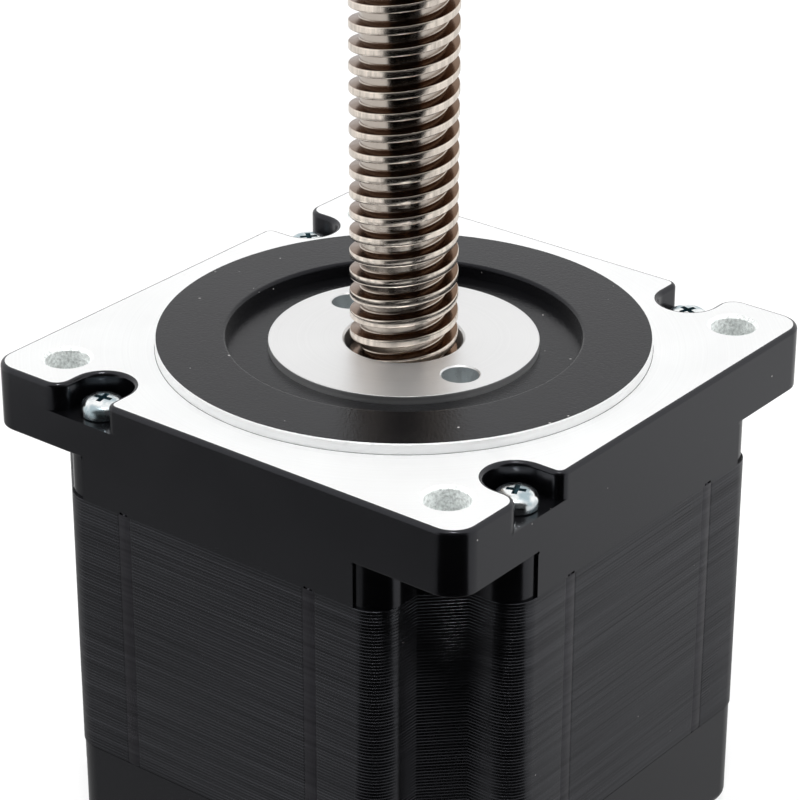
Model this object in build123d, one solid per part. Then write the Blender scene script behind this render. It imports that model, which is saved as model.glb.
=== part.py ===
from build123d import *
import math
import os

# Non-captive linear stepper motor of the 86 mm frame size, in millimetres.
# The origin is the centre of the flange's mounting face, on the screw axis.
# +Z runs along the screw, out of the mounting face. The body lies below the face.

# Mounting flange
flange_side = 85.8
flange_thickness = 9.9
flange_corner_radius = 4.2
face_edge_break = 0.45
bolt_from_side = 8.1
bolt_hole_diameter = 6.6
pilot_diameter = 73.02
pilot_height = 1.65
pilot_chamfer = 0.33
recess_diameter = 52.2
recess_floor_below_face = 0.55
recess_edge_round = 0.5

# Body behind the flange: end bells and stack share one outline
front_bell_depth = 16.8
stack_length = 42.0
rear_bell_depth = 17.2
notch_wall_from_bolt = 5.1
notch_floor_from_bolt = 3.615
notch_mouth_radius = 3.4
relief_from_notch = 4.7
relief_depth = 0.45
weld_groove_offset = 17.1
weld_groove_width = 2.6
weld_groove_depth = 0.35
weld_notch_height = 1.2
weld_notch_depth = 0.6
rear_edge_break = 1.2
shell_wall = 4.9
front_web_thickness = 8.4
rear_web_thickness = 4.5

# Tie screws and their pockets in the flange
tie_from_side = 4.4
tie_from_notch = 5.3
pocket_radius = 4.45
pocket_depth = 4.3
pocket_corner_lip_radius = 2.8
pocket_inner_lip_radius = 1.6
tie_shank_diameter = 3.5
tie_hole_clearance = 0.25
tie_thread_clearance = 0.05
tie_head_diameter = 6.5
tie_head_height = 2.5
tie_thread_engagement = 9.0
tie_hole_extra_depth = 2.0

# Lead screw, drive nut and travel
screw_diameter = 15.875
screw_length = 152.4
screw_end_chamfer = 1.8
screw_end_inside_rear_face = 0.5
screw_journal_diameter = 10.0
screw_journal_length = 15.0
screw_journal_chamfer = 1.0
screw_bore_diameter = 17.5
nut_running_clearance = 0.08
nut_diameter = 20.0
nut_length = 40.0
lock_ring_length = 5.0
lock_ring_bore_diameter = 17.8

# Ball bearings, the same size at both ends
bearing_bore_diameter = 25.0
bearing_outer_diameter = 37.0
bearing_width = 7.0
race_wall = 1.6
ball_running_clearance = 0.08
ball_ring_width = 4.2
bearing_seat_clearance = 0.02
bearing_lip_diameter = 33.6
bearing_lip_thickness = 1.5
hub_diameter = 44.0

# Bearing retainer with two spanner holes
retainer_diameter = 40.0
retainer_thickness = 5.5
retainer_above_face = 0.75
retainer_edge_chamfer = 0.2
retainer_seat_clearance = 0.04
retainer_relief_depth = 0.5
retainer_relief_diameter = 33.0
spanner_hole_diameter = 5.5
spanner_hole_depth = 3.6
spanner_hole_radius = 15.0
spanner_hole_angle = -19.2

# Preload spring below the rear bearing
spring_height = 1.2
spring_width = 1.5

# Rotor
air_gap = 0.25
rotor_teeth = 50
tooth_depth = 1.1
tooth_share_of_pitch = 0.5
rotor_bore_diameter = 30.0
cup_length = 19.0
magnet_length = 3.0
magnet_inset = 2.3

# Stator poles, coils and slot insulators
pole_count = 8
teeth_per_pole = 6
pole_neck_width = 9.0
pole_shoe_thickness = 3.4
slot_end_from_side = 6.9
slot_depth = 9.55
stator_tooth_depth = 1.0
insulator_thickness = 0.8
insulator_wall_height = 5.5
insulator_wall_thickness = 1.2
insulator_past_slot = 0.9
insulator_sides = 16
coil_thickness = 4.2
coil_corner_chamfer = 2.5
coil_side_clearance = 0.4
coil_wall_clearance = 0.15

# Lead outlet in the rear end bell
outlet_height_above_rear_face = 10.9
grommet_body_diameter = 10.0
grommet_flange_diameter = 12.0
grommet_hole_diameter = 6.6
grommet_outer_flange = 1.4
grommet_land_width = 13.0
grommet_land_wall = 4.7

# How far a cut runs past the surface that it opens, and when two places count as one
cut_past = 1.0
same_place = 0.01

# Places worked out from the sizes above
half_side = flange_side / 2
bolt_spacing = flange_side - 2 * bolt_from_side
notch_wall = bolt_spacing / 2 - notch_wall_from_bolt
notch_floor = bolt_spacing / math.sqrt(2) - notch_floor_from_bolt
relief_start = notch_wall - relief_from_notch
slot_outer_radius = half_side - slot_end_from_side
shoe_outer_radius = slot_outer_radius - slot_depth
stator_bore_radius = shoe_outer_radius - pole_shoe_thickness
rotor_radius = stator_bore_radius - air_gap
insulator_outer_radius = slot_outer_radius + insulator_past_slot
face_z = 0.0
flange_back_z = -flange_thickness
stack_front_z = -front_bell_depth
stack_rear_z = stack_front_z - stack_length
rear_face_z = stack_rear_z - rear_bell_depth
cavity_radius = half_side - shell_wall
screw_radius = screw_diameter / 2
retainer_bottom_z = retainer_above_face - retainer_thickness
front_bearing_z = retainer_bottom_z - bearing_width
spring_floor_z = rear_face_z + rear_web_thickness
rear_bearing_z = spring_floor_z + spring_height
rotor_middle_z = (stack_front_z + stack_rear_z) / 2
rotor_length = 2 * cup_length + magnet_length
rotor_front_z = rotor_middle_z + rotor_length / 2
tie_x = half_side - tie_from_side
tie_y = -(notch_wall - tie_from_notch)
nut_front_z = rotor_front_z
outlet_z = rear_face_z + outlet_height_above_rear_face


def turned(points):
    """Solid of revolution about the screw axis from (radius, height) points."""
    profile = Plane.XZ * make_face(Polyline(*points, close=True))
    return revolve(profile, Axis.Z)


def ring(outer_radius, inner_radius, low_z, high_z):
    """Plain ring on the screw axis."""
    return Pos(0, 0, low_z) * extrude(Circle(outer_radius) - Circle(inner_radius), high_z - low_z)


def disc(radius, low_z, high_z):
    """Plain disc on the screw axis, used for bores and hubs."""
    return Pos(0, 0, low_z) * extrude(Circle(radius), high_z - low_z)


def four_fold(shape):
    """The shape and its three copies turned by quarter turns about the screw axis."""
    return [Rot(0, 0, 90 * k) * shape for k in range(4)]


def notched_square(half, mouth_radius):
    """Body outline: a square with a straight-walled, slant-floored notch in each corner."""
    wall = notch_wall
    floor_end = notch_floor * math.sqrt(2) - wall
    corner = [(half, wall), (floor_end, wall), (wall, floor_end), (wall, half)]
    points = []
    for k in range(4):
        c = round(math.cos(k * math.pi / 2))
        s = round(math.sin(k * math.pi / 2))
        points += [(x * c - y * s, x * s + y * c) for x, y in corner]
    outline = make_face(Polyline(*points, close=True))
    mouths = [v for v in outline.vertices() if max(abs(v.X), abs(v.Y)) > half - same_place]
    return fillet(mouths, mouth_radius)


def relieved_outline():
    """End bell outline: full width at the middle of each side, set back beside the notches."""
    core = notched_square(half_side - relief_depth, notch_mouth_radius)
    core += Rectangle(2 * relief_start, 2 * half_side)
    core += Rectangle(2 * half_side, 2 * relief_start)
    return core


def pocket_outline():
    """One tie-screw pocket: a round seat that opens through the side of the flange."""
    seat = Pos(tie_x, tie_y) * Circle(pocket_radius)
    mouth_length = tie_from_side + flange_corner_radius
    mouth = Pos(tie_x + mouth_length / 2, tie_y) * Rectangle(mouth_length, 2 * pocket_radius)
    return seat + mouth


def pocketed_outline():
    """Flange outline at the pockets, with the blended lips where they meet the sides."""
    outline = RectangleRounded(flange_side, flange_side, flange_corner_radius)
    for pocket in four_fold(pocket_outline()):
        outline -= pocket
    lips = ((-pocket_radius, pocket_corner_lip_radius), (pocket_radius, pocket_inner_lip_radius))
    for k in range(4):
        for offset, radius in lips:
            spot = Vector(half_side, tie_y + offset, 0).rotate(Axis.Z, 90 * k)
            edge_point = min(outline.vertices(), key=lambda v: (Vector(v.X, v.Y, 0) - spot).length)
            outline = fillet(edge_point, radius)
    return outline


def bolt_holes():
    """The four mounting holes through the flange."""
    hole = disc(bolt_hole_diameter / 2, flange_back_z, face_z)
    return [Pos(x, y, 0) * hole for x, y in grid_corners(bolt_spacing)]


def grid_corners(spacing):
    """Corners of a square grid, starting at the one in the +X +Y quarter."""
    half = spacing / 2
    return [(half, half), (-half, half), (-half, -half), (half, -half)]


def tie_holes(radius, low_z, high_z):
    """Four holes on the tie-screw axes."""
    return four_fold(Pos(tie_x, tie_y, low_z) * extrude(Circle(radius), high_z - low_z))


def weld_notches():
    """Small notches in the front bell's rim where the stack's weld grooves end."""
    block = Pos(weld_groove_offset, half_side, stack_front_z) * Box(
        weld_groove_width,
        2 * weld_notch_depth,
        2 * weld_notch_height,
    )
    return four_fold(block) + four_fold(mirror(block, Plane.YZ))


def front_end_bell():
    """Cast front end bell: pocketed flange, pilot ring, recess, skirt and bearing hub."""
    top = Pos(0, 0, -pocket_depth) * extrude(pocketed_outline(), pocket_depth)
    rim = [e for e in top.edges() if e.bounding_box().min.Z > face_z - same_place]
    top = chamfer(rim, face_edge_break)
    base = extrude(
        Pos(0, 0, flange_back_z) * RectangleRounded(flange_side, flange_side, flange_corner_radius),
        flange_thickness - pocket_depth,
    )
    skirt = extrude(Pos(0, 0, stack_front_z) * relieved_outline(), front_bell_depth - flange_thickness)
    bell = top + base + skirt
    pilot_radius = pilot_diameter / 2
    bell += turned(
        [
            (0, flange_back_z),
            (pilot_radius, flange_back_z),
            (pilot_radius, pilot_height - pilot_chamfer),
            (pilot_radius - pilot_chamfer, pilot_height),
            (0, pilot_height),
        ]
    )
    recess_radius = recess_diameter / 2
    bell -= turned(
        [
            (0, -recess_floor_below_face),
            (recess_radius, -recess_floor_below_face),
            (recess_radius, pilot_height - recess_edge_round),
            (recess_radius + recess_edge_round, pilot_height),
            (recess_radius + recess_edge_round, pilot_height + cut_past),
            (0, pilot_height + cut_past),
        ]
    )
    bell -= disc(cavity_radius, stack_front_z, -front_web_thickness)
    lip_bottom_z = front_bearing_z - bearing_lip_thickness
    bell += disc(hub_diameter / 2, lip_bottom_z, -front_web_thickness)
    bell -= disc(retainer_diameter / 2, retainer_bottom_z, face_z)
    bell -= disc(bearing_outer_diameter / 2 + bearing_seat_clearance, front_bearing_z, face_z)
    bell -= disc(bearing_lip_diameter / 2, lip_bottom_z, face_z)
    for hole in bolt_holes():
        bell -= hole
    for hole in tie_holes(tie_shank_diameter / 2 + tie_hole_clearance, stack_front_z, face_z):
        bell -= hole
    for notch in weld_notches():
        bell -= notch
    return bell


def on_symmetry_line(point):
    """True on an axis or a diagonal, where the middle of each side and notch floor lies."""
    x = abs(point.X)
    y = abs(point.Y)
    return min(x, y, abs(x - y)) < same_place


def rear_end_bell():
    """Cast rear end bell: skirt, web with the screw's bore, bearing hub and lead outlet."""
    outline = notched_square(half_side, notch_mouth_radius + relief_depth)
    bell = extrude(Pos(0, 0, rear_face_z) * outline, rear_bell_depth)
    low_edges = [e for e in bell.edges() if e.bounding_box().max.Z < rear_face_z + same_place]
    bell = chamfer([e for e in low_edges if on_symmetry_line(e.center())], rear_edge_break)
    bell -= disc(cavity_radius, spring_floor_z, stack_rear_z)
    hub_top_z = rear_bearing_z + bearing_width
    bell += disc(hub_diameter / 2, rear_face_z + rear_web_thickness / 2, hub_top_z)
    bell -= disc(bearing_outer_diameter / 2 + bearing_seat_clearance, spring_floor_z, hub_top_z)
    bell -= disc(screw_bore_diameter / 2, rear_face_z, hub_top_z)
    thread_low_z = stack_rear_z - tie_thread_engagement - tie_hole_extra_depth
    for hole in tie_holes(tie_shank_diameter / 2 + tie_thread_clearance, thread_low_z, stack_rear_z):
        bell -= hole
    land_y = half_side - grommet_land_wall
    bell -= Pos(0, land_y / 2 + hub_diameter / 4, outlet_z) * Box(
        grommet_land_width,
        land_y - hub_diameter / 2,
        grommet_land_width,
    )
    outlet = Cylinder(grommet_body_diameter / 2, 3 * shell_wall)
    bell -= Pos(0, half_side, outlet_z) * Rot(90, 0, 0) * outlet
    return bell


def stator_outline():
    """Lamination shape: outer body with weld grooves, back iron, poles and toothed shoes."""
    outline = notched_square(half_side, notch_mouth_radius)
    half_width = weld_groove_width / 2
    groove_radius = (half_width**2 + weld_groove_depth**2) / (2 * weld_groove_depth)
    groove_centre = half_side - weld_groove_depth + groove_radius
    grooves = []
    for side in (-weld_groove_offset, weld_groove_offset):
        grooves += four_fold(Pos(side, groove_centre) * Circle(groove_radius))
    outline -= grooves
    outline -= Circle(slot_outer_radius)
    bore_radius = stator_bore_radius
    tooth_angle = 360 / rotor_teeth
    shoe_half_angle = (teeth_per_pole - 1 + tooth_share_of_pitch) * tooth_angle / 2
    neck_length = slot_outer_radius + cut_past - bore_radius
    neck = Pos(bore_radius + neck_length / 2, 0) * Rectangle(neck_length, pole_neck_width)
    reach = 2 * shoe_outer_radius
    wedge = make_face(
        Polyline(
            (0, 0),
            (reach, -reach * math.tan(math.radians(shoe_half_angle))),
            (reach, reach * math.tan(math.radians(shoe_half_angle))),
            close=True,
        )
    )
    shoe = wedge & (Circle(shoe_outer_radius) - Circle(bore_radius - cut_past))
    slot_width = 2 * bore_radius * math.sin(math.radians(tooth_angle * (1 - tooth_share_of_pitch) / 2))
    slot = Pos(bore_radius, 0) * Rectangle(2 * stator_tooth_depth, slot_width)
    slot_turns = [(k - (teeth_per_pole - 2) / 2) * tooth_angle for k in range(teeth_per_pole - 1)]
    pole = neck + shoe - [Rot(0, 0, turn) * slot for turn in slot_turns]
    pole_turns = [360 * k / pole_count for k in range(pole_count)]
    outline += [Rot(0, 0, turn) * pole for turn in pole_turns]
    return outline - Circle(bore_radius)


def stator_stack():
    """Laminated stator stack between the end bells, drawn as one block."""
    stack = Pos(0, 0, stack_rear_z) * extrude(stator_outline(), stack_length)
    for hole in tie_holes(tie_shank_diameter / 2 + tie_hole_clearance, stack_rear_z, stack_front_z):
        stack -= hole
    return stack


def rotor_cup(low_z, turn):
    """One toothed rotor cup. The two cups stand half a tooth apart."""
    tip_radius = rotor_radius
    pitch = 360 / rotor_teeth
    slot_width = 2 * tip_radius * math.sin(math.radians(pitch * (1 - tooth_share_of_pitch) / 2))
    slot = Pos(tip_radius, 0) * Rectangle(2 * tooth_depth, slot_width)
    outline = Circle(tip_radius) - [Rot(0, 0, turn + pitch * k) * slot for k in range(rotor_teeth)]
    outline -= Circle(rotor_bore_diameter / 2)
    return Pos(0, 0, low_z) * extrude(outline, cup_length)


def front_rotor_cup():
    """Rotor cup on the flange side of the magnet."""
    return rotor_cup(rotor_front_z - cup_length, 0)


def rear_rotor_cup():
    """Rotor cup on the rear side of the magnet, half a tooth round."""
    return rotor_cup(rotor_front_z - rotor_length, 180 / rotor_teeth)


def rotor_magnet():
    """Axially magnetised ring between the cups."""
    low_z = rotor_front_z - cup_length - magnet_length
    return ring(rotor_radius - magnet_inset, rotor_bore_diameter / 2, low_z, low_z + magnet_length)


def rotor_sleeve():
    """Hollow rotor shaft: a journal at each end and a counterbore from the rear for the nut."""
    journal = bearing_bore_diameter / 2
    body = rotor_bore_diameter / 2
    rear_shoulder_z = rear_bearing_z + bearing_width
    return turned(
        [
            (screw_bore_diameter / 2, retainer_bottom_z),
            (journal, retainer_bottom_z),
            (journal, front_bearing_z),
            (body, front_bearing_z),
            (body, rear_shoulder_z),
            (journal, rear_shoulder_z),
            (journal, rear_bearing_z),
            (nut_diameter / 2, rear_bearing_z),
            (nut_diameter / 2, nut_front_z),
            (screw_bore_diameter / 2, nut_front_z),
        ]
    )


def drive_nut():
    """Bronze nut inside the sleeve. It drives the screw along its axis."""
    return ring(
        nut_diameter / 2,
        screw_radius + nut_running_clearance,
        nut_front_z - nut_length,
        nut_front_z,
    )


def nut_lock_ring():
    """Threaded ring that holds the nut against the sleeve's inner shoulder."""
    high_z = nut_front_z - nut_length
    return ring(nut_diameter / 2, lock_ring_bore_diameter / 2, high_z - lock_ring_length, high_z)


def lead_screw():
    """Two-start lead screw at its major diameter, with a plain journal at the working end."""
    low_z = rear_face_z + screw_end_inside_rear_face
    high_z = low_z + screw_length
    end_radius = screw_radius - screw_end_chamfer
    journal = screw_journal_diameter / 2
    shoulder_z = high_z - screw_journal_length
    return turned(
        [
            (0, low_z),
            (end_radius, low_z),
            (screw_radius, low_z + screw_end_chamfer),
            (screw_radius, shoulder_z - screw_end_chamfer),
            (end_radius, shoulder_z),
            (journal, shoulder_z),
            (journal, high_z - screw_journal_chamfer),
            (journal - screw_journal_chamfer, high_z),
            (0, high_z),
        ]
    )


def outer_race(low_z):
    """Outer race of a ball bearing."""
    outer = bearing_outer_diameter / 2
    return ring(outer, outer - race_wall, low_z, low_z + bearing_width)


def inner_race(low_z):
    """Inner race of a ball bearing."""
    inner = bearing_bore_diameter / 2
    return ring(inner + race_wall, inner, low_z, low_z + bearing_width)


def ball_ring(low_z):
    """Balls and cage of a bearing, drawn as one ring that runs between the races."""
    outer = bearing_outer_diameter / 2 - race_wall - ball_running_clearance
    inner = bearing_bore_diameter / 2 + race_wall + ball_running_clearance
    middle_z = low_z + bearing_width / 2
    return ring(outer, inner, middle_z - ball_ring_width / 2, middle_z + ball_ring_width / 2)


def bearing_retainer():
    """Threaded ring over the front bearing, with two holes for a pin spanner."""
    outer = retainer_diameter / 2 - retainer_seat_clearance
    bore = screw_bore_diameter / 2
    relief = retainer_relief_diameter / 2
    body = turned(
        [
            (bore, retainer_bottom_z + retainer_relief_depth),
            (relief, retainer_bottom_z + retainer_relief_depth),
            (relief, retainer_bottom_z),
            (outer, retainer_bottom_z),
            (outer, retainer_above_face - retainer_edge_chamfer),
            (outer - retainer_edge_chamfer, retainer_above_face),
            (bore, retainer_above_face),
        ]
    )
    hole = disc(spanner_hole_diameter / 2, retainer_above_face - spanner_hole_depth, retainer_above_face)
    for turn in (spanner_hole_angle, spanner_hole_angle + 180):
        body -= Rot(0, 0, turn) * Pos(spanner_hole_radius, 0, 0) * hole
    return body


def preload_spring():
    """Wave spring under the rear bearing's outer race, drawn as the ring that it fills."""
    outer = bearing_outer_diameter / 2
    return ring(outer, outer - spring_width, spring_floor_z, rear_bearing_z)


def tie_screw():
    """One pan-head tie screw, on its own axis with the seat of its head at height 0."""
    head = tie_head_diameter / 2
    shank = tie_shank_diameter / 2
    tip_z = -(front_bell_depth - pocket_depth + stack_length + tie_thread_engagement)
    return turned(
        [
            (0, tip_z),
            (shank, tip_z),
            (shank, 0),
            (head, 0),
            (head, tie_head_height),
            (0, tie_head_height),
        ]
    )


def tie_screws():
    """The four tie screws that clamp the bells and the stack together."""
    return Compound(children=four_fold(Pos(tie_x, tie_y, -pocket_depth) * tie_screw()))


def slot_insulator(facing):
    """Moulded insulator on one end of the stack. facing is +1 at the front, -1 at the rear."""
    inner_radius = insulator_outer_radius - insulator_wall_thickness
    frame = RegularPolygon(insulator_outer_radius, insulator_sides)
    frame -= RegularPolygon(inner_radius, insulator_sides)
    tab_radius = shoe_outer_radius - insulator_wall_thickness
    pad_length = inner_radius - tab_radius
    pad = Pos(tab_radius + pad_length / 2, 0) * Rectangle(pad_length, pole_neck_width)
    tab = Pos(tab_radius + insulator_wall_thickness / 2, 0) * Rectangle(
        insulator_wall_thickness, pole_neck_width
    )
    pole_turns = [Rot(0, 0, 360 * k / pole_count) for k in range(pole_count)]
    base = frame + [turn * pad for turn in pole_turns]
    walls = frame + [turn * tab for turn in pole_turns]
    solid = extrude(base, insulator_thickness) + extrude(walls, insulator_thickness + insulator_wall_height)
    if facing > 0:
        return Pos(0, 0, stack_front_z) * solid
    return Pos(0, 0, stack_rear_z) * mirror(solid, Plane.XY)


def coil():
    """One wound coil round a pole that points along +X."""
    inner_radius = shoe_outer_radius + coil_wall_clearance
    hole_width = pole_neck_width + 2 * coil_side_clearance
    hole_height = stack_length + 2 * insulator_thickness
    width = hole_width + 2 * coil_thickness
    wall_radius = (insulator_outer_radius - insulator_wall_thickness) * math.cos(math.pi / insulator_sides)
    outer_radius = math.sqrt((wall_radius - coil_wall_clearance) ** 2 - (width / 2) ** 2)
    loop = Rectangle(width, hole_height + 2 * coil_thickness)
    loop = chamfer(loop.vertices(), coil_corner_chamfer) - Rectangle(hole_width, hole_height)
    return Pos(inner_radius, 0, rotor_middle_z) * extrude(Plane.YZ * loop, outer_radius - inner_radius)


def phase_coils(first_pole):
    """The four coils of one phase, on every second pole."""
    poles = range(first_pole, pole_count, 2)
    return Compound(children=[Rot(0, 0, 360 * k / pole_count) * coil() for k in poles])


def lead_grommet():
    """Rubber grommet in the rear bell's side wall, where the leads leave the motor."""
    land_y = half_side - grommet_land_wall
    body = grommet_body_diameter / 2
    flange = grommet_flange_diameter / 2
    hole = grommet_hole_diameter / 2
    profile = [
        (hole, 0),
        (body, 0),
        (body, grommet_land_wall),
        (flange, grommet_land_wall),
        (flange, grommet_land_wall + grommet_outer_flange),
        (hole, grommet_land_wall + grommet_outer_flange),
    ]
    return Pos(0, land_y, outlet_z) * Rot(-90, 0, 0) * turned(profile)


pieces = {
    "front_end_bell": front_end_bell,
    "rear_end_bell": rear_end_bell,
    "stator_stack": stator_stack,
    "front_slot_insulator": lambda: slot_insulator(1),
    "rear_slot_insulator": lambda: slot_insulator(-1),
    "phase_a_coils": lambda: phase_coils(0),
    "phase_b_coils": lambda: phase_coils(1),
    "tie_screws": tie_screws,
    "bearing_retainer": bearing_retainer,
    "front_bearing_outer_race": lambda: outer_race(front_bearing_z),
    "front_bearing_inner_race": lambda: inner_race(front_bearing_z),
    "front_bearing_balls": lambda: ball_ring(front_bearing_z),
    "rear_bearing_outer_race": lambda: outer_race(rear_bearing_z),
    "rear_bearing_inner_race": lambda: inner_race(rear_bearing_z),
    "rear_bearing_balls": lambda: ball_ring(rear_bearing_z),
    "preload_spring": preload_spring,
    "rotor_sleeve": rotor_sleeve,
    "front_rotor_cup": front_rotor_cup,
    "rear_rotor_cup": rear_rotor_cup,
    "rotor_magnet": rotor_magnet,
    "drive_nut": drive_nut,
    "nut_lock_ring": nut_lock_ring,
    "lead_screw": lead_screw,
    "lead_grommet": lead_grommet,
}

os.makedirs("parts", exist_ok=True)
for name, make in pieces.items():
    export_step(make(), f"parts/{name}.step")
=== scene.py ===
"""Looks of a non-captive linear stepper motor, dressed around its packed construction.

Lengths in the classes are millimetres; meshes are brought to metres when they become pieces.
The origin is the centre of the flange's mounting face, and +Z runs along the lead screw.
"""

from __future__ import annotations

import sys

import logging
import math
import random
from collections.abc import Callable
from dataclasses import dataclass, field
from enum import Enum

import bmesh
import bpy
from mathutils import Matrix, Vector

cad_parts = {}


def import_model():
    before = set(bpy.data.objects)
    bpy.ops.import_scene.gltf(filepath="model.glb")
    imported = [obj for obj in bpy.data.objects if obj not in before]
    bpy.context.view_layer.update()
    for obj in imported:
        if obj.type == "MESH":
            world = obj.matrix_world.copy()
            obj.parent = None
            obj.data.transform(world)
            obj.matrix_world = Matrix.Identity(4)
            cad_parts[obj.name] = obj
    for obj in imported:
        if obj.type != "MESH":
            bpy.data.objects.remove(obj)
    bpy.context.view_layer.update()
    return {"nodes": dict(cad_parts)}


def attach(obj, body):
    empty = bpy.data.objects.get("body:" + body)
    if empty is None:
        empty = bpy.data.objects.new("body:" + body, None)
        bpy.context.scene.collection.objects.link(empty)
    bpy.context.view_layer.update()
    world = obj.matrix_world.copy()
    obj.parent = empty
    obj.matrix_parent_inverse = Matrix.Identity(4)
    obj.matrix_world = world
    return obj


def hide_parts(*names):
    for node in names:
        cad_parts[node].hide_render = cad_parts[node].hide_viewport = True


log = logging.getLogger("motor")

MM = 0.001
SMOOTH_ANGLE = math.radians(32)
CONVEX_ANGLE = 0.4
TOUCH = 1e-3
CLEAR = 1
SIDES = 4
WHITE = (1, 1, 1, 1)

# Chords of a full turn, for the outer forms, the turned middle, the hollows and the holes.
OUTER, MIDDLE, HOLLOW, HOLE, SMALL = 192, 144, 96, 40, 24

Point = tuple[float, float]
Triple = tuple[float, float, float]
Colour = Triple
Socket = bpy.types.NodeSocket


class Join(Enum):
    """How one solid is put together with another."""

    ADD = "UNION"
    CUT = "DIFFERENCE"


def arc(centre: Point, radius: float, start: float, end: float, steps: int) -> list[Point]:
    """Points along a round stretch of an outline.

    Args:
        centre: Centre of the arc.
        radius: Its radius.
        start: Angle of the first point, in degrees.
        end: Angle of the last point, in degrees.
        steps: How many chords the arc is cut into.

    Returns:
        The points, both ends included.
    """
    turns = [math.radians(start + (end - start) * k / steps) for k in range(steps + 1)]
    return [(centre[0] + radius * math.cos(t), centre[1] + radius * math.sin(t)) for t in turns]


def around(radius: float, angle: float) -> Point:
    """The point at a distance from the axis and an angle in degrees from +X."""
    return arc((0, 0), radius, angle, angle, 1)[0]


def quarter_turns(points: list[Point]) -> list[Point]:
    """An outline made of one side's points and their copies on the other three sides."""
    whole = []
    for k in range(SIDES):
        c, s = math.cos(2 * math.pi * k / SIDES), math.sin(2 * math.pi * k / SIDES)
        whole += [(x * c - y * s, x * s + y * c) for x, y in points]
    return whole


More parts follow.
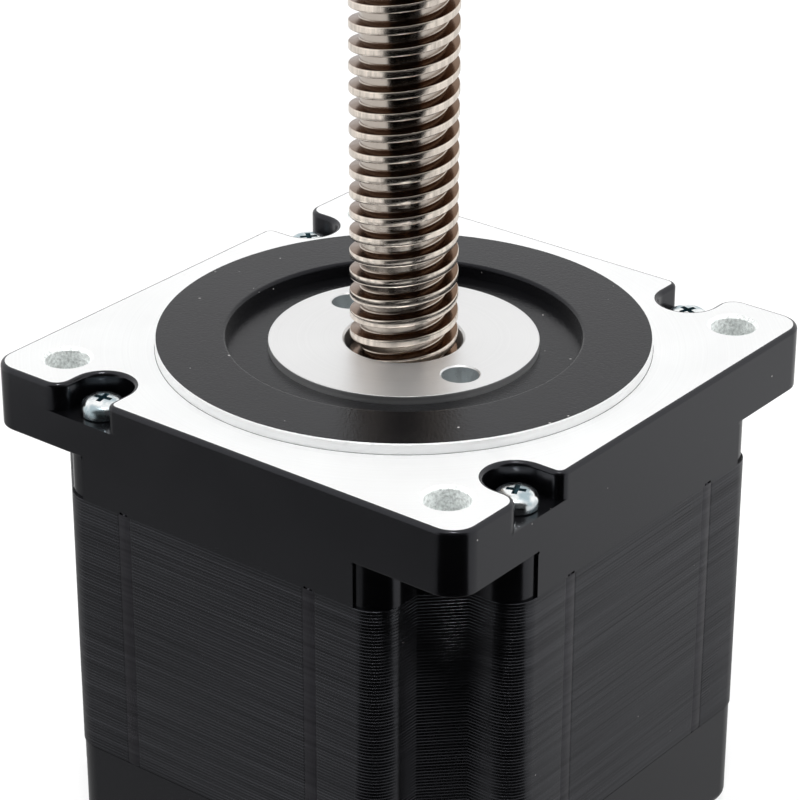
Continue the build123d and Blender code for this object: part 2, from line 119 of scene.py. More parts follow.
class Shape:
    """A solid under construction, held as a bmesh in millimetres."""

    def __init__(self, bm: bmesh.types.BMesh | None = None) -> None:
        """Starts from an empty bmesh, or from the one that is given."""
        self.bm = bm or bmesh.new()

    @classmethod
    def turned(cls, profile: list[Point], steps: int) -> Shape:
        """A solid of revolution about the screw axis.

        Args:
            profile: Closed profile as (radius, height) points.
            steps: How many chords a full turn has.

        Returns:
            The solid.
        """
        shape = cls()
        bm = shape.bm
        verts = [bm.verts.new((radius, 0, height)) for radius, height in profile]
        edges = [bm.edges.new((a, b)) for a, b in zip(verts, verts[1:] + verts[:1])]
        bmesh.ops.spin(
            bm, geom=verts + edges, cent=(0, 0, 0), axis=(0, 0, 1), dvec=(0, 0, 0),
            angle=2 * math.pi, steps=steps, use_merge=True,
        )
        bmesh.ops.remove_doubles(bm, verts=bm.verts, dist=TOUCH / 10)
        bmesh.ops.recalc_face_normals(bm, faces=bm.faces)
        return shape

    @classmethod
    def drum(cls, inner: float, outer: float, low: float, high: float, steps: int) -> Shape:
        """A plain turned solid between two radii, solid in the middle where the inner one is 0."""
        return cls.turned([(inner, low), (outer, low), (outer, high), (inner, high)], steps)

    @classmethod
    def extruded(cls, outline: list[Point], low: float, high: float) -> Shape:
        """An outline drawn up into a solid.

        Args:
            outline: Closed outline as (x, y) points.
            low: Height of its lower face.
            high: Height of its upper face.

        Returns:
            The solid.
        """
        shape = cls()
        bm = shape.bm
        face = bm.faces.new([bm.verts.new((x, y, low)) for x, y in outline])
        grown = bmesh.ops.extrude_face_region(bm, geom=[face])["geom"]
        lifted = [v for v in grown if isinstance(v, bmesh.types.BMVert)]
        bmesh.ops.translate(bm, vec=(0, 0, high - low), verts=lifted)
        bmesh.ops.recalc_face_normals(bm, faces=bm.faces)
        return shape

    @classmethod
    def block(cls, size: Triple, centre: Triple) -> Shape:
        """A rectangular block, used as a cutter."""
        shape = cls()
        place = Matrix.Translation(centre) @ Matrix.Diagonal((*size, 1))
        bmesh.ops.create_cube(shape.bm, size=1, matrix=place)
        return shape

    def moved(self, x: float = 0, y: float = 0, z: float = 0, turn: float = 0) -> Shape:
        """Turns the solid about the screw axis, in degrees, after shifting it."""
        place = Matrix.Rotation(math.radians(turn), 4, "Z") @ Matrix.Translation((x, y, z))
        bmesh.ops.transform(self.bm, matrix=place, verts=self.bm.verts)
        return self

    def copy(self) -> Shape:
        """A second solid of the same form."""
        return Shape(self.bm.copy())

    def take_in(self, other: Shape) -> None:
        """Adds another solid as a shell of its own, without joining the surfaces."""
        mesh = bpy.data.meshes.new("shell")
        other.bm.to_mesh(mesh)
        self.bm.from_mesh(mesh)
        bpy.data.meshes.remove(mesh)

    def combine(self, how: Join, *others: Shape) -> None:
        """Joins this solid with others, or cuts them out of it, one after another."""
        for other in others:
            objects = []
            for part in (self, other):
                mesh = bpy.data.meshes.new("part")
                part.bm.to_mesh(mesh)
                item = bpy.data.objects.new("part", mesh)
                bpy.context.scene.collection.objects.link(item)
                objects.append(item)
            body, tool = objects
            step = body.modifiers.new("join", "BOOLEAN")
            step.operation = how.value
            step.solver = "EXACT"
            step.object = tool
            graph = bpy.context.evaluated_depsgraph_get()
            result = bpy.data.meshes.new_from_object(body.evaluated_get(graph))
            self.bm.clear()
            self.bm.from_mesh(result)
            bpy.data.meshes.remove(result)
            for item in objects:
                bpy.data.meshes.remove(item.data)

    def round_edges(self, chosen: Callable[[bmesh.types.BMEdge], bool], width: float, steps: int,
                    held: bool = True) -> None:
        """Rounds the convex edges that a rule picks.

        Args:
            chosen: The rule.
            width: Width of the round.
            steps: How many facets the round has.
            held: Whether short edges hold the width back.
        """
        convex = (e for e in self.bm.edges if e.is_manifold and e.calc_face_angle_signed() > CONVEX_ANGLE)
        bmesh.ops.bevel(
            self.bm, geom=[e for e in convex if chosen(e)], offset=width, segments=steps, profile=0.5,
            affect="EDGES", material=-1, clamp_overlap=held,
        )

    def assign(self, rule: Callable[[bmesh.types.BMFace], int]) -> None:
        """Gives each face the material slot that a rule returns."""
        for face in self.bm.faces:
            face.material_index = rule(face)

    def piece(self, name: str, materials: list[bpy.types.Material],
              weigh: bool = True) -> bpy.types.Object:
        """Makes the finished object, with smooth faces and sharp edges.

        Args:
            name: Name of the object.
            materials: Its material slots, in order.
            weigh: Whether large faces keep their normals flat.

        Returns:
            The object, at the origin.
        """
        bm = self.bm
        bmesh.ops.scale(bm, vec=(MM, MM, MM), verts=bm.verts)
        for face in bm.faces:
            face.smooth = True
        for edge in bm.edges:
            edge.smooth = edge.is_manifold and edge.calc_face_angle(0) < SMOOTH_ANGLE
        mesh = bpy.data.meshes.new(name)
        bm.to_mesh(mesh)
        bm.free()
        for material in materials:
            mesh.materials.append(material)
        item = bpy.data.objects.new(name, mesh)
        bpy.context.scene.collection.objects.link(item)
        if weigh:
            flat = item.modifiers.new("flat_faces", "WEIGHTED_NORMAL")
            flat.keep_sharp = True
            flat.weight = 100
        log.info("%s: %d faces", name, len(mesh.polygons))
        return item


def height_is(level: float) -> Callable[[bmesh.types.BMEdge], bool]:
    """A rule that picks the edges lying at one height."""
    return lambda edge: all(abs(v.co.z - level) < TOUCH for v in edge.verts)


class Bench:
    """A node tree being wired."""

    def __init__(self, tree: bpy.types.NodeTree) -> None:
        """Works on the given tree."""
        self.tree = tree

    def feed(self, socket: Socket, value: object) -> None:
        """Links a socket, or sets its constant."""
        if isinstance(value, Socket):
            self.tree.links.new(value, socket)
        else:
            socket.default_value = value

    def add(self, kind: str, inputs: dict | None = None, **settings: object) -> bpy.types.Node:
        """Adds a shader node.

        Args:
            kind: The node's type, without the prefix that they all have.
            inputs: Values or sockets for its inputs, by name or number.
            **settings: The node's own properties.

        Returns:
            The node.
        """
        node = self.tree.nodes.new("ShaderNode" + kind)
        for key, value in settings.items():
            setattr(node, key, value)
        for key, value in (inputs or {}).items():
            self.feed(node.inputs[key], value)
        return node

    def math(self, operation: str, *values: object) -> Socket:
        """The result of a Math node."""
        return self.add("Math", dict(enumerate(values)), operation=operation).outputs[0]

    def vector(self, operation: str, *values: object) -> bpy.types.Node:
        """A Vector Math node."""
        return self.add("VectorMath", dict(enumerate(values)), operation=operation)

    def flat(self, place: Socket) -> Socket:
        """A place with its height left out."""
        return self.vector("MULTIPLY", place, (1, 1, 0)).outputs[0]

    def from_axis(self, place: Socket) -> Socket:
        """How far a place lies from the screw axis, in metres."""
        return self.vector("LENGTH", self.flat(place)).outputs["Value"]

    def spread(self, value: object, low: float, high: float, to_low: float = 0.0,
               to_high: float = 1.0) -> Socket:
        """A value carried from one range to another, held at both ends."""
        inputs = {"Value": value, "From Min": low, "From Max": high, "To Min": to_low, "To Max": to_high}
        return self.add("MapRange", inputs).outputs["Result"]

    def blend(self, share: object, first: Socket | Colour, second: Socket | Colour) -> Socket:
        """A mix of two colours."""
        first, second = (c if isinstance(c, Socket) else (*c, 1) for c in (first, second))
        return self.add("Mix", {"Factor": share, 6: first, 7: second}, data_type="RGBA").outputs[2]

    def toned(self, tone: Socket, colour: Colour) -> Socket:
        """A colour made brighter or darker by a factor."""
        return self.add("HueSaturation", {"Value": tone, "Color": (*colour, 1)}).outputs[0]

    def noise(self, place: Socket, scale: float, detail: float = 2, rough: float = 0.5) -> Socket:
        """A noise value at a place."""
        inputs = {"Vector": place, "Scale": scale, "Detail": detail, "Roughness": rough}
        return self.add("TexNoise", inputs).outputs["Fac"]

    def stretched(self, place: Socket, scale: Triple) -> Socket:
        """A place with its axes scaled, for patterns that run one way."""
        return self.add("Mapping", {"Vector": place, "Scale": scale}).outputs["Vector"]

    def grain(self, fine: float = 3000.0, broad: float = 60.0) -> tuple[Socket, Socket]:
        """Fine grain and broad blotches, given their scales."""
        node = self.add("Group", {"Grain": fine, "Blotch": broad}, node_tree=Effects.grain())
        return node.outputs["Fine"], node.outputs["Broad"]

    def dust(self, share: float, size: float = 0.2) -> Socket:
        """A mask of small specks, given the share of cells that hold one and their size."""
        return self.add("Group", {"Share": share, "Size": size}, node_tree=Effects.dust()).outputs["Mask"]


class Effects:
    """Shader node groups that several finishes share. Each is built once."""

    made: dict[str, bpy.types.NodeTree] = {}

    @classmethod
    def tree(cls, name: str, inputs: dict[str, float], outputs: list[str],
             wire: Callable[[Bench, dict, Socket], dict]) -> bpy.types.NodeTree:
        """Builds a group, or returns the one that is there.

        Args:
            name: Name of the group.
            inputs: Its number inputs with their defaults.
            outputs: Its number outputs.
            wire: Takes the bench, the inputs and the place, and returns the outputs.

        Returns:
            The group's tree.
        """
        if name in cls.made:
            return cls.made[name]
        tree = bpy.data.node_groups.new(name, "ShaderNodeTree")
        for key, value in inputs.items():
            socket = tree.interface.new_socket(key, in_out="INPUT", socket_type="NodeSocketFloat")
            socket.default_value = value
        for key in outputs:
            tree.interface.new_socket(key, in_out="OUTPUT", socket_type="NodeSocketFloat")
        bench = Bench(tree)
        entry = tree.nodes.new("NodeGroupInput")
        leave = tree.nodes.new("NodeGroupOutput")
        place = bench.add("TexCoord").outputs["Object"]
        results = wire(bench, {key: entry.outputs[key] for key in inputs}, place)
        for key, value in results.items():
            bench.feed(leave.inputs[key], value)
        cls.made[name] = tree
        return tree

    @classmethod
    def dust(cls) -> bpy.types.NodeTree:
        """Small pale specks of dust and chips, denser in some places."""

        def wire(b: Bench, given: dict, place: Socket) -> dict:
            cells = b.add("TexVoronoi", {"Vector": place, "Scale": given["Scale"], "Randomness": 1.0})
            chance = b.add("SeparateColor", {"Color": cells.outputs["Color"]})
            size = b.math("MULTIPLY", chance.outputs[0], given["Size"])
            chosen = b.math("LESS_THAN", chance.outputs[1], given["Share"])
            spot = b.math("LESS_THAN", cells.outputs["Distance"], size)
            crowd = b.spread(b.noise(place, 45.0), 0.45, 0.62, 0.25, 1.0)
            return {"Mask": b.math("MULTIPLY", b.math("MULTIPLY", spot, chosen), crowd)}

        return cls.tree("dust_specks", {"Scale": 900.0, "Size": 0.2, "Share": 0.03}, ["Mask"], wire)

    @classmethod
    def grain(cls) -> bpy.types.NodeTree:
        """Even grain with broad blotches, for casts, coats and plates."""

        def wire(b: Bench, given: dict, place: Socket) -> dict:
            fine = b.noise(place, given["Grain"], 3.0)
            return {"Fine": fine, "Broad": b.noise(place, given["Blotch"])}

        return cls.tree("grain_and_blotches", {"Grain": 3000.0, "Blotch": 60.0}, ["Fine", "Broad"], wire)

    @classmethod
    def turning(cls) -> bpy.types.NodeTree:
        """Concentric marks that a lathe tool leaves round the screw axis."""

        def wire(b: Bench, given: dict, place: Socket) -> dict:
            height = b.add("SeparateXYZ", {"Vector": place}).outputs["Z"]
            away = b.add("CombineXYZ", {"X": b.from_axis(place), "Z": height}).outputs[0]
            return {"Marks": b.noise(away, given["Lines"], 4.0, 0.65)}

        return cls.tree("turning_marks", {"Lines": 4000.0}, ["Marks"], wire)


class Surface(Bench):
    """A new material being wired, with its shader and the place on the object."""

    def __init__(self, name: str) -> None:
        """Makes the material."""
        self.material = bpy.data.materials.new(name)
        self.material.use_nodes = True
        super().__init__(self.material.node_tree)
        self.shader = self.tree.nodes["Principled BSDF"]
        self.place = self.add("TexCoord").outputs["Object"]

    def paint(self, values: dict[str, object]) -> None:
        """Feeds the shader's inputs, by name."""
        for key, value in values.items():
            self.feed(self.shader.inputs[key], value)

    def bump(self, height: Socket, strength: float, depth: float) -> None:
        """Adds relief whose depth is given in millimetres."""
        inputs = {"Height": height, "Strength": strength, "Distance": depth * MM}
        self.paint({"Normal": self.add("Bump", inputs).outputs["Normal"]})

    def show(self, shader: bpy.types.Node) -> None:
        """Puts another shader on the surface."""
        self.feed(self.tree.nodes["Material Output"].inputs["Surface"], shader.outputs[0])


def scaled(colour: Colour, factor: float) -> Colour:
    """A colour with its channels multiplied by one factor."""
    return tuple(channel * factor for channel in colour)


@dataclass(frozen=True)
class Finish:
    """A procedural finish. Subclasses wire what changes over the surface."""

    name: str
    colour: Colour
    metallic: float
    roughness: float

    def wire(self, s: Surface) -> None:
        """Wires grain into the colour, roughness and normal."""
        fine, broad = s.grain()
        s.paint({"Base Color": s.toned(s.spread(broad, 0.3, 0.7, 0.8, 1.15), self.colour)})
        self.roughen(s, fine, 0.8, 1.25, (0.2, 0.8))
        s.bump(fine, 0.1, 0.02)

    def roughen(self, s: Surface, pattern: Socket, least: float, most: float,
                reach: Point = (0.3, 0.7)) -> None:
        """Varies the roughness with a pattern.

        Args:
            s: The surface.
            pattern: The pattern.
            least: Share of the finish's roughness at the pattern's low end.
            most: Share of it at the high end.
            reach: The pattern's values at both ends.
        """
        rough = s.spread(pattern, *reach, self.roughness * least, self.roughness * most)
        s.paint({"Roughness": rough})

    def material(self) -> bpy.types.Material:
        """The finish as a material. It is built once."""
        if self.name in bpy.data.materials:
            return bpy.data.materials[self.name]
        s = Surface(self.name)
        s.paint({"Base Color": (*self.colour, 1), "Metallic": self.metallic, "Roughness": self.roughness})
        self.wire(s)
        return s.material


@dataclass(frozen=True)
class CastCoat(Finish):
    """Satin black coat over a casting, with dust specks."""

    gloss: float = 0.5
    specks: float = 0.02
    peel: float = 0.012
    lift: float = 1.45
    speck_colour: Colour = (0.35, 0.34, 0.33)

    def wire(self, s: Surface) -> None:
        """Wires orange peel, blotches and specks."""
        fine, broad = s.grain(2600.0, 90.0)
        dark = s.blend(s.spread(broad, 0.35, 0.65), self.colour, scaled(self.colour, self.lift))
        s.paint({"Base Color": s.blend(s.dust(self.specks), dark, self.speck_colour),
                 "Specular IOR Level": self.gloss, "Specular Tint": COOL})
        self.roughen(s, broad, 0.9, 1.12)
        s.bump(fine, 0.35, self.peel)


@dataclass(frozen=True)
class Machined(Finish):
    """Milled or turned bright metal with marks round the axis."""

    lines: float = 3500.0
    relief: float = 0.004
    stretch: float = 0.9

    def wire(self, s: Surface) -> None:
        """Wires the tool's marks, faint blotches, and a highlight drawn out away from the axis."""
        outward = s.vector("NORMALIZE", s.flat(s.place)).outputs[0]
        outward = s.add("VectorTransform", {0: outward}, vector_type="VECTOR",
                        convert_from="OBJECT", convert_to="WORLD").outputs[0]
        s.paint({"Anisotropic": self.stretch, "Tangent": outward})
        marks = s.add("Group", {"Lines": self.lines}, node_tree=Effects.turning()).outputs["Marks"]
        broad = s.grain(5000.0, 70.0)[1]
        tone = s.spread(s.math("ADD", marks, s.math("MULTIPLY", broad, 0.5)), 0.5, 1.0, 0.95, 1.03)
        s.paint({"Base Color": s.toned(tone, self.colour)})
        self.roughen(s, marks, 0.85, 1.2)
        s.bump(marks, 0.5, self.relief)


@dataclass(frozen=True)
class RoughCast(Finish):
    """Bare cast metal with a coarse sparkling grain, as in the bolt holes."""

    def wire(self, s: Surface) -> None:
        """Wires a coarse grain."""
        coarse = s.noise(s.place, 2200.0, 3.0, 0.7)
        s.paint({"Base Color": s.toned(s.spread(coarse, 0.35, 0.68, 0.6, 1.2), self.colour)})
        s.bump(coarse, 0.9, 0.12)


@dataclass(frozen=True)
class Laminated(Finish):
    """Varnished edges of the stack's sheets."""

    gloss: float = 0.5
    lift: float = 1.7
    speck_colour: Colour = (0.3, 0.28, 0.28)
    streak: Triple = (0.012, 0.012, 1.0)

    def wire(self, s: Surface) -> None:
        """Wires streaks along the sheets, blotches and specks."""
        streaks = s.noise(s.stretched(s.place, self.streak), 2000.0)
        fine, broad = s.grain(2500.0, 50.0)
        dark = s.blend(s.spread(streaks, 0.35, 0.65), self.colour, scaled(self.colour, self.lift))
        gloss = s.spread(streaks, 0.35, 0.65, self.gloss * 0.82, self.gloss * 1.26)
        s.paint({"Base Color": s.blend(s.dust(0.012, 0.16), dark, self.speck_colour),
                 "Specular IOR Level": gloss, "Specular Tint": COOL})
        self.roughen(s, broad, 0.85, 1.2)
        s.bump(fine, 0.4, 0.01)


@dataclass(frozen=True)
class Plated(Finish):
    """Bright zinc plate with a cool cast and cloudy patches."""

    shade: Colour = (0.42, 0.52, 0.56)

    def wire(self, s: Surface) -> None:
        """Wires cloudy patches and shallow dents."""
        fine, broad = s.grain(1400.0, 420.0)
        cloud = s.spread(broad, 0.42, 0.62)
        s.paint({"Base Color": s.blend(cloud, self.colour, self.shade)})
        self.roughen(s, cloud, 1.0, 1.8, (0.0, 1.0))
        s.bump(fine, 0.5, 0.03)


@dataclass(frozen=True)
class RolledThread(Finish):
    """Rolled steel thread: pale crests, painted shade at the root, a painted brown reflection on the flanks.
    """

    # Brown on the flanks: a painted dark reflection.
    flank_painted_reflection: Colour = (0.2, 0.125, 0.082)
    root: Point = (6.45, 7.7)
    # Share of the crest colour that is left at the root: painted shade in the groove.
    root_painted_shade: float = 0.62
    streak_shade: float = 0.72

    def wire(self, s: Surface) -> None:
        """Wires a painted reflection by the slope, painted shade by the depth below the crest and rolling
        streaks.
        """
        normal = s.add("NewGeometry").outputs["True Normal"]
        facing = s.add("SeparateXYZ", {"Vector": normal}).outputs["Z"]
        slope = s.spread(s.math("ABSOLUTE", facing), 0.55, 0.9)
        streaks = s.noise(s.stretched(s.place, (1.0, 1.0, 0.15)), 900.0, 3.0, 0.6)
        pale = s.blend(s.spread(streaks, 0.4, 0.66), self.colour, scaled(self.colour, self.streak_shade))
        # Darker towards the root below the crest: painted shade in the groove.
        raised = s.spread(s.from_axis(s.place), self.root[0] * MM, self.root[1] * MM)
        pale = s.blend(raised, scaled(self.colour, self.root_painted_shade), pale)
        # Sloping faces take the brown: a painted reflection on the flanks.
        s.paint({"Base Color": s.blend(slope, pale, self.flank_painted_reflection)})
        self.roughen(s, streaks, 0.8, 1.4)
        s.bump(streaks, 0.3, 0.01)


@dataclass(frozen=True)
class Wound(Finish):
    """Enamelled wire laid side by side."""

    pitch: float = 0.6

    def wire(self, s: Surface) -> None:
        """Wires the turns as ridges along the winding, with painted shade between them and a painted
        highlight on top.
        """
        phase = s.math("MULTIPLY", s.from_axis(s.place), 2 * math.pi / (self.pitch * MM))
        turns = s.math("SINE", phase)
        # The tone is painted shade between the turns and a painted highlight on their tops.
        s.paint({"Base Color": s.toned(s.spread(turns, -1.0, 1.0, 0.55, 1.15), self.colour)})
        self.roughen(s, s.noise(s.place, 800.0), 0.8, 1.3)
        s.bump(turns, 0.8, 0.15)


COOL = (0.88, 0.9, 1.0, 1.0)
COAT = CastCoat("cast_coat", (0.0009, 0.0009, 0.0011), 0.0, 0.2)
PILOT_COAT = CastCoat("pilot_coat", (0.002, 0.002, 0.0023), 0.0, 0.19, gloss=0.25, specks=0.07, peel=0.14)
FACE = Machined("machined_face", (0.97, 0.975, 0.975), 1.0, 0.66, stretch=0.2)
HOLE_WALL = RoughCast("bare_cast_wall", (0.88, 0.91, 0.9), 0.3, 0.42)
RING = Machined("turned_ring", (0.86, 0.86, 0.86), 1.0, 0.42, lines=2600.0, relief=0.006, stretch=0.4)
BORED = Machined("bored_wall", (0.6, 0.63, 0.64), 0.9, 0.3, stretch=0.0)
SHEETS = Laminated("varnished_sheets", (0.0012, 0.0012, 0.0014), 0.0, 0.24)
WELD = Laminated("weld_seam", (0.003, 0.0025, 0.0034), 0.0, 0.3)
ZINC = Plated("zinc_plate", (0.95, 0.97, 0.97), 1.0, 0.16)
# Darker zinc for the inside of the cross recess: painted shade in the recess.
RECESS_PAINTED_SHADE = Plated("zinc_recess_painted_shade", (0.3, 0.42, 0.46), 1.0, 0.25, shade=(0.1, 0.2, 0.24))
THREAD = RolledThread("rolled_thread", (0.95, 0.85, 0.75), 1.0, 0.19)
SPRING = Finish("tempered_spring", (0.2, 0.19, 0.2), 1.0, 0.35)
GROUND = Machined("ground_steel", (0.62, 0.62, 0.64), 1.0, 0.16, lines=5200.0, relief=0.002)
SLEEVE = Machined("turned_sleeve", (0.55, 0.55, 0.57), 1.0, 0.28)
MAGNET = Finish("nickel_plate", (0.6, 0.58, 0.54), 1.0, 0.2)
BRONZE = Machined("turned_bronze", (0.72, 0.45, 0.17), 1.0, 0.25)
WIRE = Wound("enamelled_wire", (0.6, 0.2, 0.06), 1.0, 0.28)
NYLON = Finish("moulded_nylon", (0.62, 0.6, 0.52), 0.0, 0.45)
RUBBER = Finish("grommet_rubber", (0.013, 0.013, 0.013), 0.0, 0.55)


@dataclass
class Body:
    """Sizes that the end bells and the stack share."""

    half: float = 42.9
    notch_wall: float = 29.7
    notch_floor: float = 45.6
    mouth_radius: float = 4.4
    relief_start: float = 25.0
    relief: float = 0.45
    groove_place: float = 17.1
    groove_width: float = 2.6
    groove_depth: float = 0.35
    tie_x: float = 38.5
    tie_y: float = -24.4
    stack_front: float = -16.8
    stack_rear: float = -58.8
    rear_face: float = -76.0
    cavity_radius: float = 38.0
    mouth_steps: int = 10
    groove_steps: int = 6

    def corner(self, half: float, radius: float) -> list[Point]:
        """The notched corner between the +X and the +Y side.

        Args:
            half: Half the width across the sides.
            radius: Round at the notch's mouths.

        Returns:
            The corner's points, in order round the axis.
        """
        wall = self.notch_wall
        end = self.notch_floor * math.sqrt(2) - wall
        start = arc((half - radius, wall - radius), radius, 0, 90, self.mouth_steps)
        finish = arc((wall - radius, half - radius), radius, 0, 90, self.mouth_steps)
        return start + [(end, wall), (wall, end)] + finish

    def relieved(self) -> list[Point]:
        """Outline of the front bell's skirt, set back beside the notches."""
        near = self.half - self.relief
        corner = self.corner(near, self.mouth_radius)
        side = [(near, -self.relief_start), (self.half, -self.relief_start),
                (self.half, self.relief_start), (near, self.relief_start)]
        return quarter_turns(side + corner)

    def grooved(self) -> list[Point]:
        """Outline of the stack, with two weld grooves in each side."""
        half_width = self.groove_width / 2
        radius = (half_width**2 + self.groove_depth**2) / (2 * self.groove_depth)
        swing = math.degrees(math.asin(half_width / radius))
        centre = self.half - self.groove_depth + radius
        side = []
        for place in (-self.groove_place, self.groove_place):
            side += arc((centre, place), radius, 180 + swing, 180 - swing, self.groove_steps)
        return quarter_turns(side + self.corner(self.half, self.mouth_radius))

    def tie_holes(self, radius: float, low: float, high: float) -> list[Shape]:
        """The four holes on the tie-screw axes."""
        return [Shape.drum(0, radius, low, high, SMALL).moved(self.tie_x, self.tie_y).moved(turn=90 * k)
                for k in range(SIDES)]


@dataclass
class FrontBell:
    """The cast front end bell: flange, screw pockets, skirt, pilot ring and bearing seat."""

    body: Body
    thickness: float = 9.9
    corner_radius: float = 4.2
    edge_round: float = 0.65
    foot_round: float = 0.3
    floor_round: float = 0.38
    bolt_spacing: float = 69.6
    bolt_radius: float = 3.3
    bolt_edge: float = 0.45
    pocket_radius: float = 4.45
    pocket_depth: float = 4.3
    corner_lip: float = 2.8
    inner_lip: float = 1.6
    pilot_radius: float = 36.51
    pilot_height: float = 1.65
    pilot_edge: float = 0.16
    undercut: Point = (0.08, 0.06)
    recess_radius: float = 26.1
    recess_floor: float = -0.55
    recess_round: float = 0.55
    seat_radius: float = 20.0
    seat_floor: float = -4.75
    race_radius: float = 18.52
    race_floor: float = -11.75
    lip_radius: float = 16.8
    hub_radius: float = 22.0
    hub_end: float = -13.25
    web: float = -8.4
    tie_hole: float = 2.0
    notch_size: Triple = (0.45, 1.5, 0.8)
    core_foot: float = -5.0
    pocket_reach: float = 2.0
    corner_steps: int = 14
    pocket_steps: int = 28
    lip_steps: int = 8
    rim_steps: int = 6
    edge_steps: int = 4
    fine_steps: int = 3
    level_normal: float = 0.99
    wall_normal: float = 0.9

    def pocket(self) -> Shape:
        """The space of one screw pocket, with blended lips at the side."""
        half, x, y, r = self.body.half, self.body.tie_x, self.body.tie_y, self.pocket_radius
        outer, inner = self.corner_lip, self.inner_lip
        beyond = half + self.pocket_reach
        low, high = y - r, y + r
        outline = arc((half - outer, low - outer), outer, 90, 0, self.lip_steps)
        outline += [(beyond, low - outer), (beyond, high + inner)]
        outline += arc((half - inner, high + inner), inner, 0, -90, self.lip_steps)
        outline += arc((x, y), r, 90, 270, self.pocket_steps)
        return Shape.extruded(outline, -self.pocket_depth, CLEAR)

    def core(self) -> Shape:
        """The pilot, drawn up from inside the flange."""
        r, foot, top, edge = self.pilot_radius, self.core_foot, self.pilot_height, self.pilot_edge
        return Shape.turned([(0, foot), (r, foot), (r, top - edge), (r - edge, top), (0, top)], OUTER)

    def foot_groove(self) -> Shape:
        """The fine groove that the facing tool leaves round the pilot's foot."""
        inner, (width, depth) = self.pilot_radius, self.undercut
        return Shape.drum(inner, inner + width, -depth, CLEAR, OUTER)

    def bore(self) -> Shape:
        """What is turned out of the middle: recess, retainer seat, race seat and lip."""
        top, edge, low = self.pilot_height, self.recess_round, self.hub_end - CLEAR
        rim = arc((self.recess_radius + edge, top - edge), edge, 180, 90, self.rim_steps)
        steps = [(0, low), (self.lip_radius, low), (self.lip_radius, self.race_floor),
                 (self.race_radius, self.race_floor), (self.race_radius, self.seat_floor),
                 (self.seat_radius, self.seat_floor), (self.seat_radius, self.recess_floor),
                 (self.recess_radius, self.recess_floor)]
        above = [(self.recess_radius + edge, top + CLEAR), (0, top + CLEAR)]
        return Shape.turned(steps + rim + above, MIDDLE)

    def cavity(self) -> Shape:
        """The ring-shaped hollow over the windings, around the bearing hub."""
        low, outer = self.body.stack_front - CLEAR, self.body.cavity_radius
        return Shape.turned([(0, low), (outer, low), (outer, self.web), (self.hub_radius, self.web),
                             (self.hub_radius, self.hub_end), (0, self.hub_end)], HOLLOW)

    def bolt_holes(self) -> list[Shape]:
        """The four mounting holes with their edge breaks."""
        r, e, low = self.bolt_radius, self.bolt_edge, -self.thickness - CLEAR
        profile = [(0, low), (r, low), (r, -e), (r + e, 0), (r + e, CLEAR), (0, CLEAR)]
        reach = self.bolt_spacing / 2
        return [Shape.turned(profile, HOLE).moved(reach, reach).moved(turn=90 * k) for k in range(SIDES)]

    def weld_notches(self) -> list[Shape]:
        """Notches in the skirt's rim where the stack's weld grooves end."""
        half, place, low = self.body.half, self.body.groove_place, self.body.stack_front
        return [Shape.block(self.notch_size, (half, side * place, low)).moved(turn=90 * k)
                for k in range(SIDES) for side in (-1, 1)]

    def slot_of(self, face: bmesh.types.BMFace) -> int:
        """Which material a face has: 0 coat, 1 machined, 2 bare cast wall, 3 pilot coat."""
        middle = face.calc_center_median()
        radius = math.hypot(middle.x, middle.y)
        reach = self.bolt_spacing / 2
        from_bolt = math.hypot(abs(middle.x) - reach, abs(middle.y) - reach)
        if from_bolt < self.bolt_radius + self.bolt_edge and -self.thickness < middle.z < 0:
            return 2 if face.normal.z < self.wall_normal else 1
        level = face.normal.z > self.level_normal
        if level and abs(middle.z) < TOUCH:
            return 1
        if middle.z > 0 and radius > self.pilot_radius - self.pilot_edge + TOUCH:
            return 3 if level else 1
        return 3 if radius < self.pilot_radius and middle.z > self.recess_floor - TOUCH else 0

    def build(self) -> bpy.types.Object:
        """Builds the casting.

        Returns:
            The piece.
        """
        body, half, r = self.body, self.body.half, self.corner_radius
        side = quarter_turns(arc((half - r, half - r), r, 0, 90, self.corner_steps))
        bell = Shape.extruded(side, -self.thickness, 0)
        bell.combine(Join.CUT, *(self.pocket().moved(turn=90 * k) for k in range(SIDES)))
        bell.combine(Join.ADD, Shape.extruded(body.relieved(), body.stack_front, CLEAR - self.thickness))
        bell.round_edges(height_is(0), self.edge_round, self.edge_steps, held=False)
        bell.round_edges(height_is(-self.thickness), self.foot_round, self.fine_steps)
        bell.round_edges(height_is(-self.pocket_depth), self.floor_round, self.fine_steps, held=False)
        bell.combine(Join.ADD, self.core())
        hub = Shape.drum(0, self.hub_radius, self.core_foot, self.hub_end, HOLLOW)
        bell.combine(Join.CUT, self.foot_groove(), self.cavity())
        bell.combine(Join.ADD, hub)
        tie_holes = body.tie_holes(self.tie_hole, body.stack_front - CLEAR, CLEAR)
        bell.combine(Join.CUT, self.bore(), *self.bolt_holes(), *tie_holes, *self.weld_notches())
        bell.assign(self.slot_of)
        finishes = [COAT, FACE, HOLE_WALL, PILOT_COAT]
        return bell.piece("front_bell_casting", [f.material() for f in finishes])


